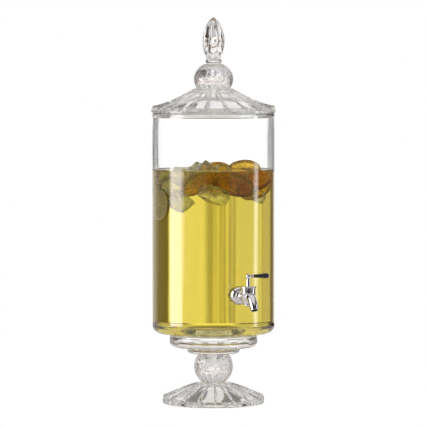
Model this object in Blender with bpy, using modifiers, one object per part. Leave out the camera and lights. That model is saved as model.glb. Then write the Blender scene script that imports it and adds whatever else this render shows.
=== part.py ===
"""Footed glass beverage dispenser with a fluted lid, a plug-cock spigot and a pedestal stand.

The origin is the centre of the stand's resting face, +Z is up and the spigot points along -Y.
All sizes are in metres. The stand carries the jar, the jar carries the lid and the spigot, and a
quarter turn of the lever turns the tapered plug that opens the spigot.
"""

import math

import bmesh
import bpy
from mathutils import Vector

# Driving dimensions
GAP = 0.0003  # clearance between pieces that rest on each other
FLUTE_COUNT = 18
FLUTE_STEPS = 4  # facets across one flute
LARGE_STEPS = 48  # facets round the jar
SMALL_STEPS = 24  # facets round the spigot's pieces

FOOT_RADIUS = 0.0854
FOOT_HEIGHT = 0.035
FOOT_NECK_RADIUS = 0.028
STEM_BALL_RADIUS = 0.033
STEM_BALL_HEIGHT = 0.0493
STEM_BALL_CENTRE = 0.0269  # above the ball's cut underside
COLLAR_RADIUS = 0.0441
COLLAR_HEIGHT = 0.0105
PLATE_RADIUS = 0.074
PLATE_HEIGHT = 0.0215
BOSS_RADIUS = 0.030
BOSS_HEIGHT = 0.0055

JAR_RADIUS = 0.103
JAR_HEIGHT = 0.371
JAR_WALL = 0.005
JAR_FLOOR = 0.0055  # thickness of the jar's base near the wall
JAR_MIDDLE = 0.0105  # height of the inside over the boss, where the base is pushed up
CUSHION_HEIGHT = 0.0017

LID_RADIUS = 0.1049
LID_RISE = 0.041  # from the jar's rim to the knob
KNOB_RADIUS = 0.0334
KNOB_HEIGHT = 0.0412
COLLAR_RING_HEIGHT = 0.0074
BUD_RADIUS = 0.0192
BUD_HEIGHT = 0.070
BUD_LOBES = 8

SPIGOT_ABOVE_BASE = 0.0705  # shank axis above the jar's underside
SHANK_RADIUS = 0.0078
SHANK_HOLE_RADIUS = 0.0087
WATERWAY_RADIUS = 0.0042
ROSE_DEPTH = 0.0100
VALVE_REACH = 0.044  # valve axis out from the jar's wall
BARREL_RADIUS = 0.0120
BARREL_BOTTOM = -0.0113  # below the shank axis
BARREL_TOP = 0.0142
PLUG_TOP = 0.0105
PLUG_BOTTOM = -0.0110
STEM_RADIUS = 0.0033
LEVER_LENGTH = 0.0376
LEVER_HEIGHT = 0.0348  # lever above the shank axis

# Heights of the stack, each resting on the one before
ball_bottom = FOOT_HEIGHT + GAP
ball_top = ball_bottom + STEM_BALL_HEIGHT
collar_bottom = ball_top + GAP
collar_top = collar_bottom + COLLAR_HEIGHT
plate_bottom = collar_top + GAP
plate_top = plate_bottom + PLATE_HEIGHT
cushion_bottom = plate_top + GAP
cushion_top = cushion_bottom + CUSHION_HEIGHT
jar_bottom = cushion_top + GAP
jar_top = jar_bottom + JAR_HEIGHT
lid_bottom = jar_top + GAP
knob_bottom = lid_bottom + LID_RISE + GAP
knob_top = knob_bottom + KNOB_HEIGHT
ring_bottom = knob_top + GAP
ring_top = ring_bottom + COLLAR_RING_HEIGHT
bud_bottom = ring_top + GAP
spigot_height = jar_bottom + SPIGOT_ABOVE_BASE

CLEAR_GLASS = ("clear_glass", (0.93, 0.95, 0.95), 0.03, 0.0)
STIPPLED_GLASS = ("stippled_glass", (0.88, 0.88, 0.87), 0.35, 0.0)
CHROME = ("chrome", (0.80, 0.78, 0.79), 0.08, 1.0)
SILICONE = ("silicone", (0.85, 0.85, 0.83), 0.55, 0.0)
BLACK_GRIP = ("black_grip", (0.012, 0.012, 0.013), 0.25, 0.0)


def clear_scene():
    for obj in list(bpy.data.objects):
        bpy.data.objects.remove(obj, do_unlink=True)


def new_collection(name):
    collection = bpy.data.collections.new(name)
    bpy.context.scene.collection.children.link(collection)
    return collection


def material(finish):
    """The Principled material for a finish, made on first use."""
    name, colour, roughness, metallic = finish
    found = bpy.data.materials.get(name)
    if found:
        return found
    made = bpy.data.materials.new(name)
    made.use_nodes = True
    shader = made.node_tree.nodes["Principled BSDF"]
    shader.inputs["Base Color"].default_value = (*colour, 1.0)
    shader.inputs["Roughness"].default_value = roughness
    shader.inputs["Metallic"].default_value = metallic
    return made


def place(obj, finish, parent=None, location=(0, 0, 0), rotation=(0, 0, 0)):
    """Puts a sub-part in the dispenser's collection, with its finish and its place."""
    for collection in list(obj.users_collection):
        collection.objects.unlink(obj)
    parts.objects.link(obj)
    obj.data.materials.clear()
    obj.data.materials.append(material(finish))
    obj.parent = parent
    obj.location = location
    obj.rotation_euler = rotation
    return obj


def empty(name, location, rotation=(0, 0, 0)):
    frame = bpy.data.objects.new(name, None)
    parts.objects.link(frame)
    frame.location = location
    frame.rotation_euler = rotation
    return frame


def arc(centre, radius, start, end, steps):
    """Points on a round stretch of an outline, from one angle in degrees to another."""
    points = []
    for i in range(steps + 1):
        angle = math.radians(start + (end - start) * i / steps)
        points.append((centre[0] + radius * math.cos(angle), centre[1] + radius * math.sin(angle)))
    return points


def turned(name, outline, steps=SMALL_STEPS, ring=False):
    """A piece turned about its own Z axis. The outline is (radius, height) points that run from the
    top down the outer side; a ring's outline closes on itself, up its inner side."""
    count = len(outline)
    edges = [(i, i + 1) for i in range(count - 1)]
    if ring:
        edges.append((count - 1, 0))
    mesh = bpy.data.meshes.new(name)
    mesh.from_pydata([(r, 0, z) for r, z in outline], edges, [])
    obj = bpy.data.objects.new(name, mesh)
    bpy.context.scene.collection.objects.link(obj)
    screw = obj.modifiers.new("Turn", "SCREW")
    screw.steps = screw.render_steps = steps
    screw.use_merge_vertices = True
    screw.merge_threshold = 0.00001
    screw.use_smooth_shade = True
    return obj


def realised(obj):
    """The object as a plain mesh with its modifiers applied and its seams welded."""
    graph = bpy.context.evaluated_depsgraph_get()
    mesh = bpy.data.meshes.new_from_object(obj.evaluated_get(graph))
    made = bmesh.new()
    made.from_mesh(mesh)
    bmesh.ops.remove_doubles(made, verts=made.verts, dist=0.00001)
    bmesh.ops.recalc_face_normals(made, faces=made.faces)
    made.to_mesh(mesh)
    made.free()
    plain = bpy.data.objects.new(obj.name, mesh)
    bpy.context.scene.collection.objects.link(plain)
    plain.matrix_world = obj.matrix_world
    name = obj.name
    bpy.data.objects.remove(obj, do_unlink=True)
    plain.name = name
    mesh.shade_smooth()
    mesh.set_sharp_from_angle(angle=math.radians(35))
    return plain


def cutter(obj):
    """Marks a helper shape that only cuts other pieces."""
    for collection in list(obj.users_collection):
        collection.objects.unlink(obj)
    cutters.objects.link(obj)
    obj.hide_render = True
    obj.display_type = "WIRE"
    return obj


def rod_cutter(
    name, radius, low, high, parent=None, location=(0, 0, 0), rotation=(0, 0, 0), steps=SMALL_STEPS
):
    """A cylinder along its own Z axis, from low to high, for boring holes."""
    rod = turned(name, [(0, high), (radius, high), (radius, low), (0, low)], steps)
    rod.parent = parent
    rod.location = location
    rod.rotation_euler = rotation
    return cutter(rod)


def boolean(obj, other, operation):
    step = obj.modifiers.new(f"{operation.title()} {other.name}", "BOOLEAN")
    step.operation = operation
    step.object = other


# Pressed flutes


def flute_share(x, y, phase):
    """0 on a rib's crest and 1 at the middle of a flute, round the axis."""
    pitch = 2 * math.pi / FLUTE_COUNT
    across = ((math.atan2(x, -y) - phase) / pitch) % 1.0
    return math.sin(math.pi * across)


def press_flutes(obj, inner, outer, deep_inner, deep_outer, above, phase=0.0):
    """Presses flutes down into the upper face between two radii, deeper towards the outside."""
    for vertex in obj.data.vertices:
        x, y, z = vertex.co
        radius = math.hypot(x, y)
        if radius < inner or radius > outer or z < above(radius):
            continue
        depth = deep_inner + (deep_outer - deep_inner) * (radius - inner) / (outer - inner)
        vertex.co.z -= depth * flute_share(x, y, phase)


def turn_to_front(obj):
    """Turns the blank so that its first column of points faces -Y, where the ribs start."""
    for vertex in obj.data.vertices:
        x, y, _ = vertex.co
        vertex.co.x, vertex.co.y = y, -x


# Stand


def foot_crest(radius):
    """Height of the foot's ribs: a slightly domed cone from the neck to the rim."""
    edge_height = 0.0130
    share = (radius - FOOT_NECK_RADIUS) / (FOOT_RADIUS - FOOT_NECK_RADIUS)
    return edge_height + (FOOT_HEIGHT - edge_height) * (1 - share**1.12)


def make_foot():
    """A solid fluted cone with a plain rim, ground flat underneath."""
    rib_end = FOOT_RADIUS - 0.0008
    rings = 5
    ribs = [FOOT_NECK_RADIUS + (rib_end - FOOT_NECK_RADIUS) * i / rings for i in range(rings + 1)]
    outline = [(0, FOOT_HEIGHT)]
    outline += [(r, foot_crest(r)) for r in ribs]
    outline += [(FOOT_RADIUS, 0.0075), (FOOT_RADIUS, 0.0022), (FOOT_RADIUS - 0.0022, 0), (0, 0)]
    foot = realised(turned("stand_foot", outline, FLUTE_COUNT * FLUTE_STEPS))
    turn_to_front(foot)
    inner = FOOT_NECK_RADIUS + 0.001
    press_flutes(foot, inner, FOOT_RADIUS, 0.0012, 0.0038, lambda r: foot_crest(r) - 0.001)
    return place(foot, CLEAR_GLASS)


def make_stem_ball():
    """A stippled glass ball, cut flat where it meets the foot and the collar."""
    upper = STEM_BALL_HEIGHT - STEM_BALL_CENTRE
    top_angle = math.degrees(math.asin(upper / STEM_BALL_RADIUS))
    bottom_angle = -math.degrees(math.asin(STEM_BALL_CENTRE / STEM_BALL_RADIUS))
    round_side = arc((0, 0), STEM_BALL_RADIUS, top_angle, bottom_angle, 8)
    ball = turned("stand_ball", [(0, upper)] + round_side + [(0, -STEM_BALL_CENTRE)], 32)
    return place(ball, STIPPLED_GLASS, location=(0, 0, ball_bottom + STEM_BALL_CENTRE))


def rounded_disc(radius, height, top_round, bottom_round, arc_steps=3):
    """Outline of a disc on z = 0 with rounded edges."""
    upper = arc((radius - top_round, height - top_round), top_round, 90, 0, 1)
    lower = arc((radius - bottom_round, bottom_round), bottom_round, 0, -90, arc_steps)
    return [(0, height)] + upper + lower + [(0, 0)]


def make_collar():
    disc = turned("stand_collar", rounded_disc(COLLAR_RADIUS, COLLAR_HEIGHT, 0.001, 0.0042), 36)
    return place(disc, CLEAR_GLASS, location=(0, 0, collar_bottom))


def make_plate():
    """The disc that carries the jar. Its raised boss keeps the jar centred."""
    outline = rounded_disc(PLATE_RADIUS, PLATE_HEIGHT, 0.0015, 0.009)
    boss = [(0, PLATE_HEIGHT + BOSS_HEIGHT), (BOSS_RADIUS - 0.001, PLATE_HEIGHT + BOSS_HEIGHT)]
    boss += [(BOSS_RADIUS, PLATE_HEIGHT + BOSS_HEIGHT - 0.001), (BOSS_RADIUS, PLATE_HEIGHT)]
    plate = turned("stand_plate", boss + outline[1:], 40)
    return place(plate, CLEAR_GLASS, location=(0, 0, plate_bottom))


def make_cushion():
    """A clear silicone ring that keeps glass off glass between the plate and the jar."""
    inner, outer, height = 0.052, 0.064, CUSHION_HEIGHT
    ring = turned("jar_cushion", [(outer, height), (outer, 0), (inner, 0), (inner, height)], 40, ring=True)
    return place(ring, SILICONE, location=(0, 0, cushion_bottom))


# Jar


def make_jar():
    """An open cylinder with a well-rounded base. The base is pushed up in the middle over a recess
    for the plate's boss, and the wall has a hole for the spigot's shank."""
    outer_round, inner_round, lip = 0.013, 0.008, 0.0016
    inner = JAR_RADIUS - JAR_WALL
    recess_radius = BOSS_RADIUS + 0.002
    recess_depth = BOSS_HEIGHT + 0.001
    outline = arc((JAR_RADIUS - lip, JAR_HEIGHT - lip), lip, 90, 0, 1)
    outline += arc((JAR_RADIUS - outer_round, outer_round), outer_round, 0, -90, 4)
    outline += [(recess_radius, 0), (recess_radius, recess_depth), (0, recess_depth)]
    outline += [(0, JAR_MIDDLE), (recess_radius + 0.003, JAR_MIDDLE), (recess_radius + 0.014, JAR_FLOOR)]
    outline += arc((inner - inner_round, JAR_FLOOR + inner_round), inner_round, -90, 0, 3)
    outline += arc((inner + lip, JAR_HEIGHT - lip), lip, 180, 90, 1)
    jar = realised(turned("jar", outline, LARGE_STEPS, ring=True))
    turn_to_front(jar)
    place(jar, CLEAR_GLASS, location=(0, 0, jar_bottom))
    hole = rod_cutter("shank_hole", SHANK_HOLE_RADIUS, -0.02, 0.02, parent=spigot_axis)
    boolean(jar, hole, "DIFFERENCE")
    return jar


# Spigot. Its axis empty has +Z pointing out of the jar and its origin on the jar's outer wall.


def make_outer_washer():
    """A soft washer whose back takes the jar's curve."""
    front = 0.0030
    outline = [(0.0140, front), (0.0140, -0.004), (SHANK_HOLE_RADIUS, -0.004), (SHANK_HOLE_RADIUS, front)]
    washer = turned("spigot_outer_washer", outline, 24, ring=True)
    place(washer, SILICONE, parent=spigot_axis)
    boolean(washer, wall_cutter, "DIFFERENCE")
    return washer


def make_inner_washer():
    """The washer inside the jar, curved to seat on the inner wall."""
    flat = -JAR_WALL - 0.0040
    outline = [(0.0135, 0.004), (0.0135, flat), (SHANK_HOLE_RADIUS, flat), (SHANK_HOLE_RADIUS, 0.004)]
    washer = turned("spigot_inner_washer", outline, 24, ring=True)
    place(washer, SILICONE, parent=spigot_axis)
    boolean(washer, bore_keeper, "INTERSECT")
    return washer


def make_nut():
    """The hexagonal nut that clamps the spigot from inside the jar."""
    thickness = 0.0065
    front = -JAR_WALL - 0.0040 - GAP
    bpy.ops.mesh.primitive_cylinder_add(vertices=6, radius=0.0138, depth=thickness)
    nut = bpy.context.object
    nut.name = "spigot_nut"
    place(nut, CHROME, parent=spigot_axis, location=(0, 0, front - thickness / 2))
    chamfer = nut.modifiers.new("Edges", "BEVEL")
    chamfer.width = 0.0006
    chamfer.segments = 1
    hole = rod_cutter("nut_hole", SHANK_RADIUS + GAP, front - 0.02, front + 0.02, parent=spigot_axis)
    boolean(nut, hole, "DIFFERENCE")
    return nut


def make_rose():
    """The domed rose that covers the hole in the jar."""
    back, height, radius = 0.0033, ROSE_DEPTH, 0.0158
    neck = SHANK_RADIUS + GAP + 0.0004
    side = 0.0015
    flat_front = 0.0095
    dome = [(flat_front, back + height)]
    for i in range(1, 6):
        angle = math.radians(90 * i / 5)
        dome.append(
            (
                flat_front + (radius - flat_front) * math.sin(angle),
                back + side + (height - side) * math.cos(angle),
            )
        )
    outline = dome + [(radius, back), (neck, back), (neck, back + height)]
    rose = turned("spigot_rose", outline, 24, ring=True)
    return place(rose, CHROME, parent=spigot_axis)


def spout_mesh(name, radii, start_share=0.0):
    """A tube along the spout's centre line, bending from the barrel's front down to the outlet."""
    curve = bpy.data.curves.new(name, "CURVE")
    curve.dimensions = "3D"
    curve.bevel_depth = 1.0
    curve.bevel_resolution = 3
    curve.resolution_u = 1
    curve.use_fill_caps = True
    path = curve.splines.new("POLY")
    start, bend, end = Vector((0, 0.004, 0.001)), Vector((0, 0.0165, 0.0005)), Vector((0, 0.0262, -0.0195))
    steps = 6
    path.points.add(steps)
    for i, point in enumerate(path.points):
        share = start_share + (1 - start_share) * i / steps
        place_on = (1 - share) ** 2 * start + 2 * share * (1 - share) * bend + share**2 * end
        point.co = (*place_on, 1)
        point.radius = radii[0] + (radii[1] - radii[0]) * share
    obj = bpy.data.objects.new(name, curve)
    bpy.context.scene.collection.objects.link(obj)
    bpy.context.view_layer.update()
    return realised(obj)


def make_spigot_body():
    """Shank, tapered barrel and spout in one casting, bored for the waterway and the plug."""
    barrel_outline = [(0, BARREL_TOP), (BARREL_RADIUS, BARREL_TOP), (BARREL_RADIUS, 0.008)]
    barrel_outline += [(BARREL_RADIUS - 0.0007, 0.0), (BARREL_RADIUS - 0.0016, -0.0065)]
    barrel_outline += [(BARREL_RADIUS - 0.0024, BARREL_BOTTOM + 0.0010)]
    barrel_outline += [(BARREL_RADIUS - 0.0034, BARREL_BOTTOM), (0, BARREL_BOTTOM)]
    body = turned("spigot_body", barrel_outline, 32)
    place(body, CHROME, parent=valve_axis)

    rose_front = 0.0033 + ROSE_DEPTH
    shoulder = rose_front + GAP
    shank_end = -0.0190
    inner_end = VALVE_REACH - 0.006
    shank_outline = [(0, inner_end), (0.0062, inner_end), (0.0062, shoulder + 0.007)]
    shank_outline += [(0.0085, shoulder + 0.004), (0.0104, shoulder + 0.0035), (0.0104, shoulder)]
    shank_outline += [(SHANK_RADIUS, shoulder), (SHANK_RADIUS, shank_end), (0, shank_end)]
    shank = cutter(turned("shank", shank_outline))
    shank.parent = spigot_axis
    boolean(body, shank, "UNION")

    spout = cutter(spout_mesh("spout", (0.0086, 0.0067)))
    spout.parent = valve_axis
    spout.rotation_euler = (0, 0, math.pi)
    boolean(body, spout, "UNION")

    seat_outline = [(0, 0.020), (0.0098, 0.020), (0.0098, 0.0110), (0.0080, 0.0110)]
    seat_outline += [(0.0064, -0.020), (0, -0.020)]
    seat = cutter(turned("plug_seat", seat_outline, 36))
    seat.parent = valve_axis
    boolean(body, seat, "DIFFERENCE")
    way_in = rod_cutter("way_in", WATERWAY_RADIUS, -0.03, VALVE_REACH, parent=spigot_axis)
    boolean(body, way_in, "DIFFERENCE")
    way_out = cutter(spout_mesh("way_out", (0.0040, 0.0046)))
    way_out.parent = valve_axis
    way_out.rotation_euler = (0, 0, math.pi)
    boolean(body, way_out, "DIFFERENCE")
    outlet = rod_cutter("outlet", 0.0051, -0.003, 0.0025, parent=valve_axis, location=(0, -0.0262, -0.0195))
    outlet.rotation_euler = (math.radians(-26), 0, 0)
    boolean(body, outlet, "DIFFERENCE")
    return body


def make_bonnet():
    """The cap that screws into the barrel over the plug. Its skirt stops above the plug."""
    top, rim, skirt = BARREL_TOP + 0.0045, 0.0132, 0.0094
    hole = 0.0038
    outline = [(0.0060, top), (rim - 0.0016, top - 0.0006), (rim, top - 0.0016), (rim, BARREL_TOP + 0.0012)]
    outline += [(rim - 0.0008, BARREL_TOP + GAP), (skirt, BARREL_TOP + GAP), (skirt, 0.0118)]
    outline += [(hole, 0.0118), (hole, top)]
    return place(turned("spigot_bonnet", outline, ring=True), CHROME, parent=valve_axis)


# Lever and plug, which turn together about the valve axis


def make_plug():
    """The tapered plug with its cross hole, its stem and the tenon that takes the lever's hub."""
    top, bottom = PLUG_TOP, PLUG_BOTTOM
    play = GAP + 0.0001
    slope = (0.0080 - 0.0064) / 0.031
    upper = 0.0064 + slope * (top + 0.020) - play
    lower = 0.0064 + slope * (bottom + 0.020) - play
    stem_top = LEVER_HEIGHT - 0.0036
    tenon_top = LEVER_HEIGHT + 0.0008
    outline = [(0, tenon_top), (0.0019, tenon_top), (0.0019, stem_top), (0.0029, stem_top)]
    outline += [(STEM_RADIUS, BARREL_TOP + 0.009), (STEM_RADIUS, top)]
    outline += [(upper, top), (lower, bottom), (0, bottom)]
    plug = turned("valve_plug", outline, SMALL_STEPS)
    place(plug, CHROME, parent=valve_axis)
    port = rod_cutter("plug_port", 0.0040, -0.02, 0.02, parent=valve_axis, rotation=(0, math.pi / 2, 0))
    boolean(plug, port, "DIFFERENCE")
    tap = rod_cutter("screw_tap", 0.0020, -0.02, -0.0065, parent=valve_axis)
    boolean(plug, tap, "DIFFERENCE")
    return plug


def make_stem_ring():
    """The O-ring under the bonnet that seals the stem."""
    wire = 0.0005
    profile = arc((STEM_RADIUS + GAP + wire, 0), wire, 90, -270, 6)[:-1]
    ring = turned("stem_o_ring", profile, SMALL_STEPS, ring=True)
    return place(ring, SILICONE, parent=valve_axis, location=(0, 0, PLUG_TOP + 0.0001 + wire))


def make_plug_washer():
    inner, outer, thick = 0.0023, 0.0082, 0.0008
    washer = turned("plug_washer", [(outer, thick), (outer, 0), (inner, 0), (inner, thick)], ring=True)
    return place(washer, CHROME, parent=valve_axis, location=(0, 0, BARREL_BOTTOM - GAP - 0.0008))


def make_plug_screw():
    """The domed screw that draws the plug down into its taper."""
    head_top = BARREL_BOTTOM - 2 * GAP - 0.0008
    outline = [(0, -0.0070), (0.0017, -0.0070), (0.0017, head_top)]
    outline += [(0.0046, head_top), (0.0046, head_top - 0.0010), (0.0040, head_top - 0.0024)]
    outline += [(0.0022, head_top - 0.0032), (0, head_top - 0.0034)]
    return place(turned("plug_screw", outline), CHROME, parent=valve_axis)


def make_hub():
    """The ball on the stem that holds the lever."""
    radius, flat = 0.0046, 0.0033
    tilt = math.degrees(math.asin(flat / radius))
    hub = turned("lever_hub", [(0, radius)] + arc((0, 0), radius, 90, -tilt, 6)[1:] + [(0, -flat)])
    place(hub, CHROME, parent=lever_axis)
    socket = rod_cutter("stem_socket", 0.0022, -0.0060, 0.0012, parent=lever_axis)
    boolean(hub, socket, "DIFFERENCE")
    along = (0, math.pi / 2, 0)
    rod_hole = rod_cutter("rod_socket", 0.0015, 0.0028, 0.008, parent=lever_axis, rotation=along)
    boolean(hub, rod_hole, "DIFFERENCE")
    return hub


def make_rod():
    """The rod through the lever. It is tapped into the hub and carries the grip and the end cap."""
    thin, start, end = 0.0012, 0.0031, LEVER_LENGTH - 0.0008
    rod = turned("lever_rod", [(0, end), (thin, end), (thin, start), (0, start)], 16)
    return place(rod, CHROME, parent=lever_axis, rotation=(0, math.pi / 2, 0))


def make_ferrule():
    """The waisted collar between the hub and the grip."""
    bore, end = 0.0015, 0.0094
    outline = [(0.0024, end), (0.0029, end - 0.0010), (0.0029, end - 0.0022), (0.0020, 0.0062)]
    outline += [(0.0024, 0.0050), (bore, 0.0049), (bore, end)]
    ferrule = turned("lever_ferrule", outline, ring=True)
    return place(ferrule, CHROME, parent=lever_axis, rotation=(0, math.pi / 2, 0))


def make_grip():
    """The black grip, swelling towards its outer end."""
    bore, start, end = 0.0015, 0.0097, LEVER_LENGTH - 0.0023
    outline = [(0.0037, end), (0.0044, end - 0.0008), (0.0043, end - 0.006), (0.0036, end - 0.013)]
    outline += [(0.0028, start + 0.004), (0.0025, start), (bore, start), (bore, end)]
    grip = turned("lever_grip", outline, ring=True)
    return place(grip, BLACK_GRIP, parent=lever_axis, rotation=(0, math.pi / 2, 0))


def make_end_cap():
    bore, start, end = 0.0015, LEVER_LENGTH - 0.0020, LEVER_LENGTH
    outline = [(0, end), (0.0016, end - 0.0001), (0.0032, end - 0.0008), (0.0032, start)]
    outline += [(bore, start), (bore, end - 0.0005), (0, end - 0.0005)]
    cap = turned("lever_end_cap", outline)
    return place(cap, CHROME, parent=lever_axis, rotation=(0, math.pi / 2, 0))


# Lid


def lid_crest(radius):
    """Height of the lid's ribs above its flange face: a slightly sagging cone."""
    edge_height, edge = 0.0115, LID_RADIUS - 0.0024
    inner = KNOB_RADIUS - 0.002
    share = (radius - inner) / (edge - inner)
    return edge_height + (LID_RISE - edge_height) * max(0.0, 1 - share) ** 1.4


def make_lid_cover():
    """A fluted cone with a flange that rests on the jar's rim and a skirt that locates inside it."""
    skirt_outer = JAR_RADIUS - JAR_WALL - 0.0012
    skirt_inner, skirt_depth = skirt_outer - 0.0050, 0.0082
    crest_end = LID_RADIUS - 0.0024
    crest_start = KNOB_RADIUS - 0.002
    rings = 5
    ribs = [crest_start + (crest_end - crest_start) * i / rings for i in range(rings + 1)]
    outline = [(0, LID_RISE)]
    outline += [(r, lid_crest(r)) for r in ribs]
    outline += [(LID_RADIUS, 0.0045), (LID_RADIUS, 0.0014), (LID_RADIUS - 0.0014, 0), (skirt_outer, 0)]
    outline += [(skirt_outer, -skirt_depth), (skirt_inner, -skirt_depth), (skirt_inner - 0.001, -0.001)]
    outline += [(skirt_inner - 0.012, 0.0045), (0.034, 0.030), (0, 0.031)]
    cover = realised(turned("lid_cover", outline, FLUTE_COUNT * FLUTE_STEPS))
    turn_to_front(cover)
    half_pitch = math.pi / FLUTE_COUNT
    press_flutes(
        cover, KNOB_RADIUS, LID_RADIUS, 0.0014, 0.0042, lambda r: lid_crest(r) - 0.001, phase=half_pitch
    )
    return place(cover, CLEAR_GLASS, location=(0, 0, lid_bottom))


def make_knob():
    """The stippled knob: a flattened ball cut flat below and above."""
    rise = 0.0285
    centre = 0.0149
    steps = 8
    top_angle = math.degrees(math.asin((KNOB_HEIGHT - centre) / rise))
    bottom_angle = -math.degrees(math.asin(centre / rise))
    side = []
    for i in range(steps + 1):
        angle = math.radians(top_angle + (bottom_angle - top_angle) * i / steps)
        side.append((KNOB_RADIUS * math.cos(angle), centre + rise * math.sin(angle)))
    knob = turned("lid_knob", [(0, KNOB_HEIGHT)] + side + [(0, 0)], 32)
    return place(knob, STIPPLED_GLASS, location=(0, 0, knob_bottom))


def make_finial_collar():
    """The bright ring between the knob and the bud."""
    height = COLLAR_RING_HEIGHT
    bead = arc((0.0103, height / 2), height / 2 - 0.0002, 80, -80, 4)
    ring = turned("finial_collar", [(0, height)] + bead + [(0, 0)])
    return place(ring, CLEAR_GLASS, location=(0, 0, ring_bottom))


def make_bud():
    """A pointed bud with soft lobes that meet at its tip."""
    base_radius, belly = 0.0120, 0.0300
    outline = [(0, BUD_HEIGHT)]
    upper_steps, lower_steps = 7, 3
    for i in range(1, upper_steps + 1):
        share = 1 - i / upper_steps
        outline.append((BUD_RADIUS * (1 - share**2) ** 0.75, belly + (BUD_HEIGHT - belly) * share))
    for i in range(1, lower_steps + 1):
        share = i / lower_steps
        outline.append((base_radius + (BUD_RADIUS - base_radius) * (1 - share**2), belly * (1 - share)))
    outline.append((0, 0))
    bud = realised(turned("finial_bud", outline, BUD_LOBES * 4))
    for vertex in bud.data.vertices:
        x, y, z = vertex.co
        depth = 0.10 * abs(math.sin(BUD_LOBES / 2 * math.atan2(y, x)))
        swell = math.sin(math.pi * min(1.0, z / BUD_HEIGHT)) ** 0.5 if z > 0 else 0.0
        vertex.co.x = x * (1 - depth * swell)
        vertex.co.y = y * (1 - depth * swell)
    return place(bud, CLEAR_GLASS, location=(0, 0, bud_bottom))


clear_scene()
parts = new_collection("beverage_dispenser")
cutters = new_collection("cutters")
spigot_axis = empty("spigot_axis", (0, -JAR_RADIUS, spigot_height), (math.pi / 2, 0, 0))
valve_axis = empty("valve_axis", (0, -JAR_RADIUS - VALVE_REACH, spigot_height))
lever_axis = empty("lever_axis", (0, -JAR_RADIUS - VALVE_REACH, spigot_height + LEVER_HEIGHT))
wall_cutter = rod_cutter("jar_wall_shape", JAR_RADIUS + GAP, 0.12, 0.30, steps=LARGE_STEPS)
bore_radius = JAR_RADIUS - JAR_WALL - GAP - 0.0001
bore_keeper = rod_cutter("jar_bore_shape", bore_radius, 0.12, 0.30, steps=LARGE_STEPS)

make_foot()
make_stem_ball()
make_collar()
make_plate()
make_cushion()
make_jar()
make_outer_washer()
make_inner_washer()
make_nut()
make_rose()
make_spigot_body()
make_bonnet()
make_plug()
make_stem_ring()
make_plug_washer()
make_plug_screw()
make_hub()
make_rod()
make_ferrule()
make_grip()
make_end_cap()
make_lid_cover()
make_knob()
make_finial_collar()
make_bud()
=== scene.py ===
"""Looks of the footed glass beverage dispenser, filled with a yellow drink, ice and sliced fruit.

Every shown piece is rebuilt finely in the row frame: metres, +Z up, the spigot along -Y.
"""

import math

import bmesh
import bpy
import numpy as np
from mathutils import Matrix, Vector, kdtree, noise


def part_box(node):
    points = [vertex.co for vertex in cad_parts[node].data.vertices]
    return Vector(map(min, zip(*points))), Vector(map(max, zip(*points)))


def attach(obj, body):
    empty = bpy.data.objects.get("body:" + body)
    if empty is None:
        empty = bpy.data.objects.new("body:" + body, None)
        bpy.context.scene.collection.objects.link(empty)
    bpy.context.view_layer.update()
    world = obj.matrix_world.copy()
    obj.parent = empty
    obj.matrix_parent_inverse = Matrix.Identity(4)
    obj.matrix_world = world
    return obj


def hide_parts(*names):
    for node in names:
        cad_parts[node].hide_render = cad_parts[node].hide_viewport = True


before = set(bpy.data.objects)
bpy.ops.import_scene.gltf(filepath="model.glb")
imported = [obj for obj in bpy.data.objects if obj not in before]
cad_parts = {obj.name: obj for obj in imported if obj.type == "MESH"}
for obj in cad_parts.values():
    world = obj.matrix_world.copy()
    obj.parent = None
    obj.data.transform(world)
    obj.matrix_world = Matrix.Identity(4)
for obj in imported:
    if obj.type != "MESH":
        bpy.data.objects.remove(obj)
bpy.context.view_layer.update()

VIEW_AZIMUTH, VIEW_ELEVATION = math.radians(-23), math.radians(3.4)
VIEW_DISTANCE, VIEW_HEIGHT = 5.9, 0.3205
LENS, SENSOR = 295, 36  # millimetres
RIGHT = Vector((math.cos(VIEW_AZIMUTH), math.sin(VIEW_AZIMUTH), 0))
TOWARD = Vector((math.sin(VIEW_AZIMUTH), -math.cos(VIEW_AZIMUTH), 0))


# Places, read from the frame's boxes


def bottom(node):
    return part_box(node)[0].z


def top(node):
    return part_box(node)[1].z


def reach(node):
    """Radius of a piece turned about the jar's axis."""
    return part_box(node)[1].x


def seen(across, toward, height):
    """A point by how far right of the jar's axis and how far towards the camera it lies."""
    return RIGHT * across + TOWARD * toward + Vector((0, 0, height))


# Shapes


def rounded(corners, steps=4, ring=False):
    """Outline through (radius, height, round) corners, each rounded by a true arc."""
    points, count = [], len(corners)
    for i, corner in enumerate(corners):
        at = Vector(corner[:2])
        if len(corner) < 3 or (not ring and i in (0, count - 1)):
            points.append(at)
            continue
        back, ahead = Vector(corners[i - 1][:2]) - at, Vector(corners[(i + 1) % count][:2]) - at
        half = back.angle(ahead) / 2
        cut = min(corner[2] / math.tan(half), 0.48 * back.length, 0.48 * ahead.length)
        start, end, weight = at + back.normalized() * cut, at + ahead.normalized() * cut, math.sin(half)
        for k in range(steps + 1):
            t = k / steps
            middle = 2 * t * (1 - t) * weight
            total = (1 - t) ** 2 + middle + t * t
            points.append((start * (1 - t) ** 2 + at * middle + end * t * t) / total)
    return [(p.x, p.y) for p in points]


def finely(points, step, ring=False):
    """The same outline with points at most a step apart."""
    made = []
    for (r0, z0), (r1, z1) in zip(points, points[1:] + (points[:1] if ring else [])):
        parts = max(1, math.ceil(math.hypot(r1 - r0, z1 - z0) / step))
        made += [(r0 + (r1 - r0) * k / parts, z0 + (z1 - z0) * k / parts) for k in range(parts)]
    return made if ring else made + [points[-1]]


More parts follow.
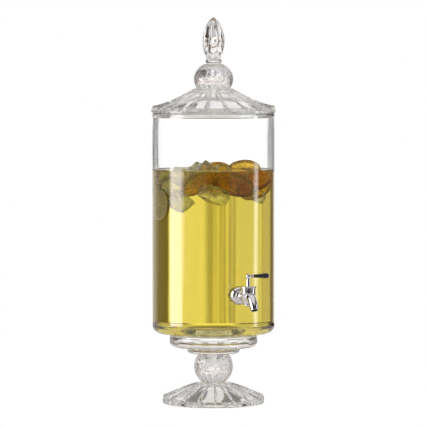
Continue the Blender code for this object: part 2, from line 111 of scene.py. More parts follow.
def mesh_object(name, points, faces, sharp=40):
    """A smooth-shaded object whose edges stay sharp above an angle in degrees."""
    mesh = bpy.data.meshes.new(name)
    mesh.from_pydata([tuple(p) for p in points], [], faces)
    mesh.validate()
    mesh.shade_smooth()
    mesh.set_sharp_from_angle(angle=math.radians(sharp))
    obj = bpy.data.objects.new(name, mesh)
    bpy.context.scene.collection.objects.link(obj)
    return obj


def lathe(name, outline, around=96, ring=False, shape=None, place=None, sharp=40):
    """A closed piece turned about Z. Outlines run from the top down the outer side; a ring's outline
    then runs up its inner side. Angle 0 faces -Y and grows towards +X. shape(r, z, angle) may move
    the points, and place is a matrix that puts the piece in the row frame."""
    rz = np.array(outline, float)
    first = not ring and rz[0, 0] < 1e-9
    last = not ring and rz[-1, 0] < 1e-9
    rows = rz[int(first) : len(rz) - int(last)]
    angle = np.arange(around) * 2 * np.pi / around + np.zeros((len(rows), 1))
    radius, height = rows[:, :1] + 0 * angle, rows[:, 1:] + 0 * angle
    if shape:
        radius, height = shape(radius, height, angle)
    points = np.stack([radius * np.sin(angle), -radius * np.cos(angle), height], -1).reshape(-1, 3)
    points = points.tolist()
    faces = []
    count = len(rows)
    for i in range(count if ring else count - 1):
        a, b = i * around, (i + 1) % count * around
        faces += [(a + j, b + j, b + (j + 1) % around, a + (j + 1) % around) for j in range(around)]
    for is_pole, row, z, flip in ((first, 0, rz[0, 1], False), (last, count - 1, rz[-1, 1], True)):
        if not is_pole:
            continue
        if shape:
            z = float(shape(np.zeros((1, 1)), np.full((1, 1), z), np.zeros((1, 1)))[1][0, 0])
        pole, a = len(points), row * around
        points.append((0, 0, z))
        for j in range(around):
            k = (j + 1) % around
            faces.append((a + j, pole, a + k) if flip else (pole, a + j, a + k))
    obj = mesh_object(name, points, faces, sharp)
    if place is not None:
        obj.data.transform(place)
    return obj


def turned(name, corners, steps, step=None, around=96, ring=False, **more):
    """A lathe piece from rounded corners. With a step, its outline's points are at most that far apart."""
    outline = rounded(corners, steps, ring)
    if step:
        outline = finely(outline, step, ring)
    return lathe(name, outline, around, ring, **more)


def cylinder(name, radius, low, high, around, place=None):
    return lathe(name, [(0, high), (radius, high), (radius, low), (0, low)], around, place=place)


def tube(name, path, radii, around):
    """A capped tube along a path in the plane x = 0."""
    points, faces = [], []
    for i, (at, radius) in enumerate(zip(path, radii)):
        along = (path[min(i + 1, len(path) - 1)] - path[max(i - 1, 0)]).normalized()
        side, up = Vector((1, 0, 0)), along.cross(Vector((1, 0, 0)))
        for j in range(around):
            turn = 2 * math.pi * j / around
            points.append(at + (side * math.cos(turn) + up * math.sin(turn)) * radius)
    for i in range(len(path) - 1):
        a, b = i * around, (i + 1) * around
        faces += [(a + j, a + (j + 1) % around, b + (j + 1) % around, b + j) for j in range(around)]
    faces += [tuple(range(around))[::-1], tuple(range(len(points) - around, len(points)))]
    obj = mesh_object(name, points, faces)
    skin = bmesh.new()
    skin.from_mesh(obj.data)
    bmesh.ops.recalc_face_normals(skin, faces=skin.faces)
    skin.to_mesh(obj.data)
    skin.free()
    return obj


def bake(obj, sharp=35):
    """Applies the modifiers."""
    graph = bpy.context.evaluated_depsgraph_get()
    mesh = bpy.data.meshes.new_from_object(obj.evaluated_get(graph))
    obj.modifiers.clear()
    obj.data = mesh
    mesh.shade_smooth()
    mesh.set_sharp_from_angle(angle=math.radians(sharp))
    return obj


def combine(obj, tool, operation="DIFFERENCE", sharp=35):
    """Cuts, joins or crosses a piece with a tool, which is used up."""
    step = obj.modifiers.new(operation, "BOOLEAN")
    step.operation, step.solver, step.object = operation, "EXACT", tool
    bake(obj, sharp)
    bpy.data.objects.remove(tool, do_unlink=True)
    return obj


def smooth_step(value, low, high):
    """0 below low and 1 above high, with a smooth step between."""
    t = np.clip((value - low) / (high - low), 0, 1)
    return t * t * (3 - 2 * t)


# Node trees


class Graph:
    """Short-hand for writing a node tree."""

    def __init__(self, tree):
        self.tree = tree
        tree.nodes.clear()

    def add(self, kind, inputs=None, **settings):
        node = self.tree.nodes.new(kind)
        for key, value in settings.items():
            setattr(node, key, value)
        for key, value in (inputs or {}).items():
            self.feed(node.inputs[key], value)
        return node

    def feed(self, socket, value):
        if isinstance(value, bpy.types.NodeSocket):
            self.tree.links.new(value, socket)
        else:
            socket.default_value = value

    def math(self, operation, *values):
        node = self.add("ShaderNodeMath", operation=operation)
        for socket, value in zip(node.inputs, values):
            self.feed(socket, value)
        return node.outputs[0]

    def plus(self, *values):
        total = values[0]
        for value in values[1:]:
            total = self.math("ADD", total, value)
        return total

    def times(self, *values):
        total = values[0]
        for value in values[1:]:
            total = self.math("MULTIPLY", total, value)
        return total

    def rise(self, value, low, high, start=0.0, end=1.0):
        """start below low and end above high, with a smooth step between."""
        ends = {"From Min": low, "From Max": high, "To Min": start, "To Max": end}
        node = self.add("ShaderNodeMapRange", {"Value": value, **ends}, interpolation_type="SMOOTHSTEP")
        return node.outputs[0]

    def mix(self, share, first, second):
        """The first colour at share 0 and the second at share 1."""
        node = self.add("ShaderNodeMix", data_type="RGBA")
        for socket, value in zip((node.inputs[0], node.inputs[6], node.inputs[7]), (share, first, second)):
            if not isinstance(value, bpy.types.NodeSocket) and not isinstance(value, float):
                value = (*value[:3], 1.0)
            self.feed(socket, value)
        return node.outputs[2]

    def noise(self, vector, scale, detail=3.0, roughness=0.5):
        inputs = {"Vector": vector, "Scale": scale, "Detail": detail, "Roughness": roughness}
        return self.add("ShaderNodeTexNoise", inputs).outputs[0]

    def bump(self, height, strength, distance):
        inputs = {"Height": height, "Strength": strength, "Distance": distance}
        return self.add("ShaderNodeBump", inputs).outputs[0]

    def place(self, output="Object"):
        return self.add("ShaderNodeTexCoord").outputs[output]

    def stretched(self, vector, scale):
        return self.add("ShaderNodeMapping", {"Vector": vector, "Scale": scale}).outputs[0]

    def split(self, vector):
        return self.add("ShaderNodeSeparateXYZ", {"Vector": vector}).outputs

    def from_axis(self, x, y):
        """Distance from the Z axis."""
        return self.math("SQRT", self.plus(self.times(x, x), self.times(y, y)))

    def lit(self, colour, strength):
        """A colour times a strength."""
        return self.add("ShaderNodeVectorMath", {0: colour, "Scale": strength}, operation="SCALE").outputs[0]

    def sum(self, colours):
        total = colours[0]
        for colour in colours[1:]:
            total = self.add("ShaderNodeVectorMath", {0: total, 1: colour}, operation="ADD").outputs[0]
        return total


def new_material(name):
    """A material and the graph that writes its nodes."""
    made = bpy.data.materials.new(name)
    made.use_nodes = True
    return made, Graph(made.node_tree)


def surface(graph, inputs):
    """Puts a Principled BSDF on the material and gives its output node."""
    shader = graph.add("ShaderNodeBsdfPrincipled", inputs)
    return graph.add("ShaderNodeOutputMaterial", {"Surface": shader.outputs[0]})


def glass(name, colour=(0.985, 0.992, 0.99), roughness=(0.0, 0.012), wave=0.00010, wave_scale=(60, 60, 9)):
    """Pressed or blown glass: faintly wavy, with a few soft smears on it."""
    made, g = new_material(name)
    where = g.place()
    slow = g.noise(g.stretched(where, wave_scale), 1.0, 2.0)
    smear = g.noise(g.stretched(where, (35, 35, 14)), 1.0, 4.0, 0.6)
    tint = g.mix(g.rise(slow, 0.35, 0.65), colour, tuple(c * 0.985 for c in colour))
    surface(
        g,
        {
            "Base Color": tint,
            "Roughness": g.rise(smear, 0.5, 0.75, *roughness),
            "IOR": 1.5,
            "Transmission Weight": 1.0,
            "Normal": g.bump(slow, 0.35, wave),
        },
    )
    return made


def metal(name):
    """Chrome: bright, with polishing haze and fine scratches."""
    made, g = new_material(name)
    colour = (0.80, 0.775, 0.785)
    where = g.place()
    haze = g.noise(where, 180.0, 4.0, 0.6)
    scratch = g.noise(g.stretched(where, (900, 900, 120)), 1.0, 3.0, 0.7)
    surface(
        g,
        {
            "Base Color": g.mix(g.rise(haze, 0.3, 0.7), colour, tuple(c * 0.93 for c in colour)),
            "Metallic": 1.0,
            "Roughness": g.plus(g.rise(haze, 0.35, 0.75, 0.05, 0.13), g.rise(scratch, 0.55, 0.8, 0.0, 0.06)),
            "Normal": g.bump(scratch, 0.08, 0.00004),
        },
    )
    return made


def soft_rubber(name):
    """Clear silicone rubber: cloudy and satin."""
    made, g = new_material(name)
    where = g.place()
    grain = g.noise(where, 900.0, 4.0, 0.6)
    cloud = g.noise(where, 60.0, 2.0)
    surface(
        g,
        {
            "Base Color": g.mix(cloud, (0.88, 0.88, 0.86), (0.80, 0.80, 0.77)),
            "Roughness": g.rise(grain, 0.3, 0.7, 0.42, 0.6),
            "IOR": 1.41,
            "Transmission Weight": 0.55,
            "Normal": g.bump(grain, 0.2, 0.00005),
        },
    )
    return made


def black_plastic(name):
    """Gloss black, with faint flow lines along the grip and a little dust."""
    made, g = new_material(name)
    where = g.place()
    moulding = g.noise(g.stretched(where, (40, 260, 260)), 1.0, 3.0)
    dust = g.noise(where, 1300.0, 2.0)
    surface(
        g,
        {
            "Base Color": g.mix(g.rise(dust, 0.62, 0.8), (0.010, 0.010, 0.011), (0.045, 0.043, 0.04)),
            "Roughness": g.rise(moulding, 0.3, 0.7, 0.12, 0.24),
            "IOR": 1.5,
            "Coat Weight": 0.5,
            "Coat Roughness": 0.05,
            "Normal": g.bump(moulding, 0.15, 0.00008),
        },
    )
    return made


def drink_finish(name):
    """The yellow drink: clear, with a faint swirl in its surface."""
    made, g = new_material(name)
    where = g.place()
    swirl = g.noise(g.stretched(where, (28, 28, 6)), 1.0, 3.0)
    out = surface(
        g,
        {
            "Base Color": g.mix(swirl, (1.0, 0.995, 0.95), (1.0, 0.985, 0.91)),
            "Roughness": g.rise(swirl, 0.4, 0.7, 0.0, 0.01),
            "IOR": 1.33,
            "Transmission Weight": 1.0,
            "Normal": g.bump(swirl, 0.25, 0.0004),
        },
    )
    volume = g.add("ShaderNodeVolumeAbsorption", {"Color": (0.913, 0.846, 0.054, 1.0), "Density": 13.0})
    g.feed(out.inputs["Volume"], volume.outputs[0])
    return made


def ice_finish(name):
    """Ice with clouded cores."""
    made, g = new_material(name)
    where = g.place()
    cloud = g.noise(where, 55.0, 5.0, 0.6)
    cracks = g.noise(g.stretched(where, (160, 90, 120)), 1.0, 4.0, 0.7)
    surface(
        g,
        {
            "Base Color": g.mix(g.rise(cloud, 0.35, 0.7), (0.99, 0.99, 0.97), (0.95, 0.95, 0.91)),
            "Roughness": g.rise(cloud, 0.35, 0.7, 0.04, 0.30),
            "IOR": 1.31,
            "Transmission Weight": g.rise(cloud, 0.38, 0.72, 0.96, 0.66),
            "Normal": g.bump(cracks, 0.5, 0.0008),
        },
    )
    return made


def fruit_finish(name, rind, pith, flesh, core, radius, clear):
    """A slice's cut faces and rind, worked out from its own axis: rind, pith, and ten segments between
    walls in the core's colour. Clear is how much light passes through the flesh."""
    made, g = new_material(name)
    where = g.place()
    x, y, _ = g.split(where)
    wobble = g.noise(where, 130.0, 3.0)
    out_from = g.math("DIVIDE", g.from_axis(x, y), radius)
    out_from = g.plus(out_from, g.rise(wobble, 0.2, 0.8, -0.025, 0.025))
    turn = g.plus(g.math("ARCTAN2", y, x), g.rise(wobble, 0.2, 0.8, -0.12, 0.12))
    wall = g.math("ABSOLUTE", g.math("SINE", g.times(turn, 5.0)))
    juice = g.noise(g.stretched(where, (420, 420, 160)), 1.0, 4.0, 0.65)
    pulp = g.mix(g.rise(juice, 0.3, 0.7), flesh, tuple(c * 0.82 for c in flesh))
    in_wall = g.math("MAXIMUM", g.rise(wall, 0.06, 0.20, 1.0, 0.0), g.rise(out_from, 0.08, 0.16, 1.0, 0.0))
    face = g.mix(in_wall, pulp, core)
    face = g.mix(g.rise(out_from, 0.84, 0.88), face, pith)
    face = g.mix(g.rise(out_from, 0.93, 0.96), face, rind)
    pores = g.noise(where, 700.0, 2.0)
    surface(
        g,
        {
            "Base Color": face,
            "Roughness": g.rise(juice, 0.3, 0.7, 0.14, 0.32),
            "IOR": 1.36,
            "Transmission Weight": g.rise(out_from, 0.82, 0.95, clear, clear * 0.35),
            "Normal": g.bump(g.plus(juice, pores), 0.25, 0.0005),
        },
    )
    return made


def show(obj, material, body, nodes=()):
    """Gives a piece its material and body, and hides the CAD nodes that it stands for."""
    obj.data.materials.clear()
    obj.data.materials.append(material)
    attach(obj, body)
    if nodes:
        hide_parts(*nodes)
    return obj


CLEAR = glass("clear_glass_look")
JAR_GLASS = glass("jar_glass_look", wave=0.00016, wave_scale=(55, 55, 5))
STIPPLED = glass("stippled_glass_look", (0.975, 0.965, 0.962), (0.01, 0.05), 0.00006, (300, 300, 300))
CHROME = metal("chrome_look")
SILICONE = soft_rubber("silicone_look")
GRIP = black_plastic("black_grip_look")

# Pressed flutes, shared by the foot and the lid

FLUTES = 18
FLUTE_STEPS = 30  # points across one flute
SHALLOW = 0.0012  # the flutes' depth at their inner end
HAIR = 1e-6  # slack where radii are compared


def flute(angle, phase=0.0):
    """0 on a narrow rib and 1 on the broad, slightly hollow floor of a flute."""
    share = (angle - phase) / (2 * np.pi / FLUTES) % 1.0
    return 0.85 * smooth_step(np.minimum(share, 1 - share), 0, 0.11) + 0.15 * np.sin(np.pi * share)


def pressed(crest, inner, rib_end, outer, deepen, rim_top, rim_low, drop, phase=0.0):
    """A shape that presses flutes into the rows on a crest, from the inner radius to the ribs' end,
    and lets the rim outside them follow their ends down to rim_low. The flutes get deeper outwards by
    deepen, and the rim's top dips into each by drop."""

    def shape(radius, height, angle):
        dip = flute(angle, phase)
        depth = SHALLOW + deepen * (radius - inner) / (outer - inner)
        depth = depth * smooth_step(radius, inner, inner + 0.003)
        share = np.clip((height - rim_low) / (rim_top - rim_low), 0, 1)
        edge = rim_low + (rim_top - drop * dip - rim_low) * share
        on_crest = (height > crest(radius) - 0.0004) & (radius <= rib_end + HAIR)
        at_rim = (radius > rib_end - HAIR) & (height > rim_low)
        return radius, np.where(on_crest, height - depth * dip, np.where(at_rim, edge, height))

    return shape


def crest_rows(crest, inner, rib_end, count):
    """A cone's outline from its pole out to the ribs' end."""
    rows = [inner + (rib_end - inner) * i / count for i in range(count + 1)]
    return [(0, float(crest(0))), (inner * 0.5, float(crest(0)))] + [(r, float(crest(r))) for r in rows]


# Stand

foot_radius, foot_height = reach("stand_foot"), top("stand_foot")
NECK = 0.028
RIB_EDGE = 0.0130
foot_ribs = foot_radius - 0.0008
HOLLOW_RADIUS, HOLLOW_TOP_RADIUS, HOLLOW_HEIGHT = 0.069, 0.026, 0.0235


def foot_crest(radius):
    share = np.clip((radius - NECK) / (foot_radius - NECK), 0, 1)
    return RIB_EDGE + (foot_height - RIB_EDGE) * (1 - share**1.12)


foot_edge = float(foot_crest(foot_ribs))
foot_lower = rounded(
    [
        (foot_ribs, foot_edge), (foot_radius, 0.0122, 0.001), (foot_radius, 0.0, 0.0022),
        (HOLLOW_RADIUS, 0.0, 0.001), (HOLLOW_RADIUS - 0.003, 0.0042, 0.003),
        (HOLLOW_TOP_RADIUS, HOLLOW_HEIGHT, 0.006), (0, HOLLOW_HEIGHT),
    ],
    5,
)
foot_outline = crest_rows(foot_crest, NECK, foot_ribs, 56) + finely(foot_lower[1:], 0.0014)
foot_shape = pressed(
    foot_crest, NECK, foot_ribs, foot_radius, deepen=0.0020, rim_top=foot_edge, rim_low=0.0068, drop=0.0032
)
foot = lathe("foot", foot_outline, FLUTES * FLUTE_STEPS, shape=foot_shape, sharp=50)
show(foot, CLEAR, "stand", ["stand_foot"])

PITS, PIT_DEPTH = 620, 0.00085


def hammered(name, radius_at, centre, low, high, seed):
    """A round piece whose face is covered with small round pits. They lie on a spiral about its
    centre, each moved a little at random."""
    rng = np.random.default_rng(seed)
    k = np.arange(PITS) + 0.5
    spread = 1.1 / math.sqrt(PITS)
    polar = np.arccos(1 - 2 * k / PITS) + rng.normal(0, spread, PITS)
    turn = np.pi * (1 + 5**0.5) * k + rng.normal(0, spread, PITS)
    tree = kdtree.KDTree(PITS)
    for i, (p, t) in enumerate(zip(polar, turn)):
        tree.insert((math.sin(p) * math.cos(t), math.sin(p) * math.sin(t), math.cos(p)), i)
    tree.balance()
    strength = rng.uniform(0.35, 1.3, PITS)
    spacing = math.sqrt(4 * math.pi / PITS)

    def shape(radius, height, angle):
        aim = np.stack([radius * np.sin(angle), -radius * np.cos(angle), height - centre], -1)
        size = np.linalg.norm(aim, axis=-1, keepdims=True)
        flat = (aim / np.maximum(size, 1e-9)).reshape(-1, 3)
        pit = np.zeros(len(flat))
        for i, p in enumerate(flat.tolist()):
            _, site, away = tree.find(p)
            pit[i] = (1 - min(1.0, away / (spacing * 0.46)) ** 2) * strength[site]
        at_end = smooth_step(height, low, low + 0.002) * (1 - smooth_step(height, high - 0.002, high))
        pit = pit.reshape(radius.shape) * at_end
        return radius * (1 - PIT_DEPTH * pit / np.maximum(size[..., 0], 1e-9)), height

    around, rows = 420, 150
    outline = [(0, high), (radius_at(high) * 0.5, high)]
    for i in range(rows + 1):
        height = high + (low - high) * (0.5 - 0.5 * math.cos(math.pi * i / rows))
        outline.append((radius_at(height), height))
    outline += [(radius_at(low) * 0.5, low), (0, low)]
    return lathe(name, outline, around, shape=shape, sharp=60)


ball_low, ball_high = bottom("stand_ball"), top("stand_ball")
ball_middle, ball_radius = ball_low + 0.0269, reach("stand_ball")
ball = hammered(
    "stem_ball", lambda z: math.sqrt(max(0.0, ball_radius**2 - (z - ball_middle) ** 2)),
    ball_middle, ball_low, ball_high, 5,
)
show(ball, STIPPLED, "stand", ["stand_ball"])

collar_low, collar_high, collar_radius = bottom("stand_collar"), top("stand_collar"), reach("stand_collar")
collar = turned(
    "stem_disc",
    [
        (0, collar_high), (collar_radius, collar_high, 0.0012),
        (collar_radius, collar_low, 0.0044), (0, collar_low),
    ],
    8, 0.006, 160,
)
show(collar, CLEAR, "stand", ["stand_collar"])

plate_low, plate_radius = bottom("stand_plate"), reach("stand_plate")
BOSS_RADIUS, BOSS_HEIGHT = 0.030, 0.0055
boss_high = top("stand_plate")
plate_high = boss_high - BOSS_HEIGHT
plate = turned(
    "jar_plate",
    [
        (0, boss_high), (BOSS_RADIUS, boss_high, 0.0012), (BOSS_RADIUS, plate_high, 0.0008),
        (plate_radius, plate_high, 0.0018), (plate_radius, plate_low, 0.0090), (0, plate_low),
    ],
    10, 0.008, 200,
)
show(plate, CLEAR, "stand", ["stand_plate"])

cushion_low, cushion_high = bottom("jar_cushion"), top("jar_cushion")
CUSHION_IN, CUSHION_OUT, CUSHION_ROUND = 0.052, 0.064, 0.0006
cushion = turned(
    "cushion_ring",
    [
        (CUSHION_OUT, cushion_high, CUSHION_ROUND), (CUSHION_OUT, cushion_low, CUSHION_ROUND),
        (CUSHION_IN, cushion_low, CUSHION_ROUND), (CUSHION_IN, cushion_high, CUSHION_ROUND),
    ],
    4, around=160, ring=True,
)
show(cushion, SILICONE, "stand", ["jar_cushion"])

# Jar

jar_low, jar_high, jar_radius = bottom("jar"), top("jar"), reach("jar")
WALL, FLOOR, MIDDLE = 0.005, 0.0055, 0.0105
RECESS_RADIUS, RECESS_HEIGHT, RECESS_ROUND = 0.032, 0.0065, 0.0010
SPIGOT_HOLE = 0.0087
bore = jar_radius - WALL
spigot_z = (bottom("spigot_rose") + top("spigot_rose")) / 2
bonnet_low, bonnet_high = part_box("spigot_bonnet")
valve_y = (bonnet_low.y + bonnet_high.y) / 2
lever_z = (bottom("lever_rod") + top("lever_rod")) / 2

# Frames on the spigot. Their +Z runs out of the jar, up the plug's axis from the spigot's height and
# from the lever's, and along the closed lever.
quarter_turn = math.pi / 2
out_frame = Matrix.Translation((0, -jar_radius, spigot_z)) @ Matrix.Rotation(quarter_turn, 4, "X")
valve_frame = Matrix.Translation((0, valve_y, spigot_z))
hub_frame = Matrix.Translation((0, valve_y, lever_z))
lever_frame = hub_frame @ Matrix.Rotation(quarter_turn, 4, "Y")


def wall_wave(angle, height):
    """How far the blown wall's inside strays from round: slow ripples that run up the jar."""
    up = height - jar_low
    ripple = np.sin(5 * angle + 9 * up + 1.0) + 0.7 * np.sin(11 * angle - 14 * up)
    ripple += 0.5 * np.sin(19 * angle + 11 * up + 2)
    ripple += 0.35 * np.sin(31 * angle + 17 * up + 0.6)
    return 0.00006 * ripple * smooth_step(up, FLOOR, FLOOR + 0.03) * (1 - smooth_step(up, 0.34, 0.36))


def jar_shape(radius, height, angle):
    inside = (radius > 0.07) & (radius < bore + 0.0005) & (height > jar_low + FLOOR + 0.001)
    return radius + np.where(inside, wall_wave(angle, height), 0), height


jar = turned(
    "jar_glass",
    [
        (0, jar_low + MIDDLE), (0.035, jar_low + MIDDLE, 0.008), (0.046, jar_low + FLOOR, 0.008),
        (bore, jar_low + FLOOR, 0.0082), (bore, jar_high, 0.0022), (jar_radius, jar_high, 0.0022),
        (jar_radius, jar_low, 0.0130), (RECESS_RADIUS, jar_low, RECESS_ROUND),
        (RECESS_RADIUS, jar_low + RECESS_HEIGHT, RECESS_ROUND), (0, jar_low + RECESS_HEIGHT),
    ],
    8, 0.006, 256, shape=jar_shape,
)
combine(jar, cylinder("hole", SPIGOT_HOLE, -0.02, 0.02, 64, out_frame))
show(jar, JAR_GLASS, "jar", ["jar"])

# Spigot

SHANK = 0.0078
JAR_SPAN = 0.12, 0.30  # heights that take in the whole spigot

washer = turned(
    "rose_washer",
    [(0.0140, 0.0030, 0.0006), (0.0140, -0.004), (SPIGOT_HOLE, -0.004), (SPIGOT_HOLE, 0.0030, 0.0004)],
    4, ring=True, place=out_frame,
)
combine(washer, cylinder("round_jar", jar_radius + 0.0003, *JAR_SPAN, 256))
show(washer, SILICONE, "jar", ["spigot_outer_washer"])

inner_washer = turned(
    "inside_washer",
    [(0.0135, 0.004), (0.0135, -0.0090, 0.0006), (SPIGOT_HOLE, -0.0090, 0.0004), (SPIGOT_HOLE, 0.004)],
    4, ring=True, place=out_frame,
)
combine(inner_washer, cylinder("bore_shape", bore - 0.0004, *JAR_SPAN, 256), "INTERSECT")
show(inner_washer, SILICONE, "jar", ["spigot_inner_washer"])

NUT_FRONT, NUT_BACK, NUT_RADIUS, NUT_BORE = -0.0093, -0.0158, 0.0138, 0.0081


def hex_shape(radius, height, angle):
    """Draws a round outline in to six flats."""
    side = (angle + math.pi / 6) % (math.pi / 3) - math.pi / 6
    flat = NUT_RADIUS * math.cos(math.pi / 6) / np.cos(side)
    return np.where(radius > 0.0100, np.minimum(radius, flat), radius), height


nut = turned(
    "shank_nut",
    [
        (0.0118, NUT_FRONT), (NUT_RADIUS, NUT_FRONT - 0.0009, 0.0003),
        (NUT_RADIUS, NUT_BACK + 0.0009, 0.0003), (0.0118, NUT_BACK),
        (NUT_BORE, NUT_BACK, 0.0004), (NUT_BORE, NUT_FRONT, 0.0004),
    ],
    3, 0.0012, 144, ring=True, shape=hex_shape, place=out_frame, sharp=25,
)
show(nut, CHROME, "jar", ["spigot_nut"])

dome_angles = np.linspace(0, quarter_turn, 22)
dome = [(0.0095 + 0.0063 * math.sin(a), 0.0048 + 0.0085 * math.cos(a)) for a in dome_angles]
rose_inside = [(0.0158, 0.0037), (0.0154, 0.0033), (SPIGOT_HOLE, 0.0033), (0.0085, 0.0035)]
rose_outline = [(0.0085, 0.0131), (0.0088, 0.0133)] + dome + rose_inside
rose = lathe("rose", rose_outline, 160, ring=True, place=out_frame)
show(rose, CHROME, "jar", ["spigot_rose"])

barrel = turned(
    "spigot",
    [
        (0, 0.0142), (0.0120, 0.0142, 0.0006), (0.0120, 0.0080, 0.004), (0.0113, 0.0, 0.01),
        (0.0104, -0.0065, 0.01), (0.0096, -0.0103, 0.0010), (0.0086, -0.0113, 0.0006), (0, -0.0113),
    ],
    5, 0.0012, 120, place=valve_frame,
)
shank = turned(
    "shank",
    [
        (0, 0.038), (0.0062, 0.038), (0.0062, 0.0206, 0.003), (0.0085, 0.0176, 0.0015),
        (0.0104, 0.0171, 0.0008), (0.0104, 0.0136, 0.0006), (SHANK, 0.0136), (SHANK, -0.0190, 0.0006),
        (0, -0.0190),
    ],
    5, 0.0015, 104, place=out_frame,
)


def spout_path(steps):
    """Points along the spout's curve, from the barrel to its mouth, and how far along each lies."""
    a, b, c = Vector((0, -0.004, 0.001)), Vector((0, -0.0165, 0.0005)), Vector((0, -0.0262, -0.0195))
    shift = Vector((0, valve_y, spigot_z))
    shares = [i / steps for i in range(steps + 1)]
    return [shift + a * (1 - t) ** 2 + b * (2 * t * (1 - t)) + c * t * t for t in shares], shares


path, shares = spout_path(28)
spout = tube("spout", path, [0.0086 - 0.0019 * t for t in shares], 72)
combine(barrel, shank, "UNION")
combine(barrel, spout, "UNION")
casting = barrel.modifiers.new("Casting", "REMESH")
casting.mode, casting.voxel_size = "VOXEL", 0.00033
polished = barrel.modifiers.new("Polished", "SMOOTH")
polished.factor, polished.iterations = 0.5, 7
bake(barrel, 60)
SEAT_TOP, SEAT_TOP_HEIGHT, SEAT_LOW, SEAT_LOW_HEIGHT = 0.0080, 0.0110, 0.0064, -0.020
seat_outline = [
    (0, 0.020), (0.0098, 0.020), (0.0098, SEAT_TOP_HEIGHT), (SEAT_TOP, SEAT_TOP_HEIGHT),
    (SEAT_LOW, SEAT_LOW_HEIGHT), (0, SEAT_LOW_HEIGHT),
]
combine(barrel, lathe("seat", seat_outline, 72, place=valve_frame))
combine(barrel, cylinder("way_in", 0.0042, -0.03, 0.044, 48, out_frame))
path, shares = spout_path(20)
beyond = path[-1] + (path[-1] - path[-2]).normalized() * 0.002
way_out = tube("way_out", path + [beyond], [0.0040 + 0.0008 * t for t in shares] + [0.0050], 48)
combine(barrel, way_out, sharp=50)
show(barrel, CHROME, "jar", ["spigot_body"])

STEM_HOLE = 0.0038
cap = turned(
    "bonnet",
    [
        (0.0060, 0.0187, 0.001), (0.0122, 0.0185, 0.0008), (0.0132, 0.0172, 0.0008),
        (0.0132, 0.0154, 0.0006), (0.0124, 0.0145, 0.0002), (0.0094, 0.0145), (0.0094, 0.0118),
        (STEM_HOLE, 0.0118), (STEM_HOLE, 0.0187, 0.0004),
    ],
    5, 0.0015, 128, ring=True, place=valve_frame,
)
show(cap, CHROME, "jar", ["spigot_bonnet"])

# Lever and valve

STEM, PIN = 0.0033, 0.0019
PLUG_HIGH, PLUG_LOW, PLUG_CLEARANCE = 0.0105, -0.0110, 0.0004
lever_up = lever_z - spigot_z
slope = 0.0016 / 0.031  # the seat's widening for each unit of height


def plug_side(above_seat):
    return SEAT_LOW + slope * above_seat - PLUG_CLEARANCE


plug = turned(
    "plug",
    [
        (0, lever_up + 0.0008), (PIN, lever_up + 0.0008, 0.0002), (PIN, lever_up - 0.0036),
        (0.0029, lever_up - 0.0036, 0.0003), (STEM, 0.0232, 0.002), (STEM, PLUG_HIGH, 0.0004),
        (plug_side(0.0305), PLUG_HIGH, 0.0004), (plug_side(0.0090), PLUG_LOW, 0.0003), (0, PLUG_LOW),
    ],
    4, around=80, place=valve_frame,
)
combine(plug, cylinder("port", 0.0040, -0.02, 0.02, 48, valve_frame @ Matrix.Rotation(quarter_turn, 4, "Y")))
combine(plug, cylinder("tap", 0.0020, -0.02, -0.0065, 32, valve_frame))
show(plug, CHROME, "lever", ["valve_plug"])

O_RING_WIRE = 0.0005
o_ring_outline = [
    (0.0036 + O_RING_WIRE + O_RING_WIRE * math.sin(a), 0.0106 + O_RING_WIRE + O_RING_WIRE * math.cos(a))
    for a in np.linspace(0, 2 * math.pi, 17)[:-1]
]
o_ring = lathe("stem_seal", o_ring_outline, 64, ring=True, place=valve_frame)
show(o_ring, SILICONE, "lever", ["stem_o_ring"])

disc = turned(
    "plug_disc",
    [(0.0082, -0.0116, 0.0002), (0.0082, -0.0124, 0.0002), (0.0023, -0.0124), (0.0023, -0.0116)],
    3, ring=True, place=valve_frame,
)
show(disc, CHROME, "lever", ["plug_washer"])
screw = turned(
    "tail_screw",
    [
        (0, -0.0070), (0.0017, -0.0070, 0.0003), (0.0017, -0.0127), (0.0046, -0.0127, 0.0003),
        (0.0046, -0.0139, 0.0008), (0.0030, -0.0159, 0.003), (0, -0.0161),
    ],
    5, around=80, place=valve_frame,
)
show(screw, CHROME, "lever", ["plug_screw"])

HUB, HUB_CUT = 0.0046, 0.0033
hub_angles = np.linspace(quarter_turn, -math.asin(HUB_CUT / HUB), 26)[1:]
hub_side = [(HUB * math.cos(a), HUB * math.sin(a)) for a in hub_angles]
hub = lathe("hub_ball", [(0, HUB)] + hub_side + [(0, -HUB_CUT)], 96, place=hub_frame)
combine(hub, cylinder("stem_socket", 0.0022, -0.006, 0.0012, 40, hub_frame))
combine(hub, cylinder("rod_socket", 0.0015, 0.0028, 0.008, 40, lever_frame))
show(hub, CHROME, "lever", ["lever_hub"])

ROD, ROD_HOLE = 0.0012, 0.0015
rod = turned(
    "rod",
    [(0, 0.0368), (ROD, 0.0368, 0.0002), (ROD, 0.0031, 0.0002), (0, 0.0031)],
    3, around=40, place=lever_frame,
)
show(rod, CHROME, "lever", ["lever_rod"])
ferrule = turned(
    "ferrule",
    [
        (0.0024, 0.0094, 0.0003), (0.0029, 0.0084, 0.0005), (0.0029, 0.0072, 0.001),
        (0.0020, 0.0062, 0.0012), (0.0024, 0.0050, 0.0002), (ROD_HOLE, 0.0049), (ROD_HOLE, 0.0094),
    ],
    5, 0.0006, 80, ring=True, place=lever_frame,
)
show(ferrule, CHROME, "lever", ["lever_ferrule"])
grip = turned(
    "grip",
    [
        (0.0037, 0.0353, 0.0004), (0.0044, 0.0345, 0.0010), (0.0043, 0.0293, 0.01), (0.0036, 0.0223, 0.01),
        (0.0028, 0.0137, 0.01), (0.0025, 0.0097, 0.0005), (ROD_HOLE, 0.0097), (ROD_HOLE, 0.0353),
    ],
    6, 0.0010, 96, ring=True, place=lever_frame,
)
show(grip, GRIP, "lever", ["lever_grip"])
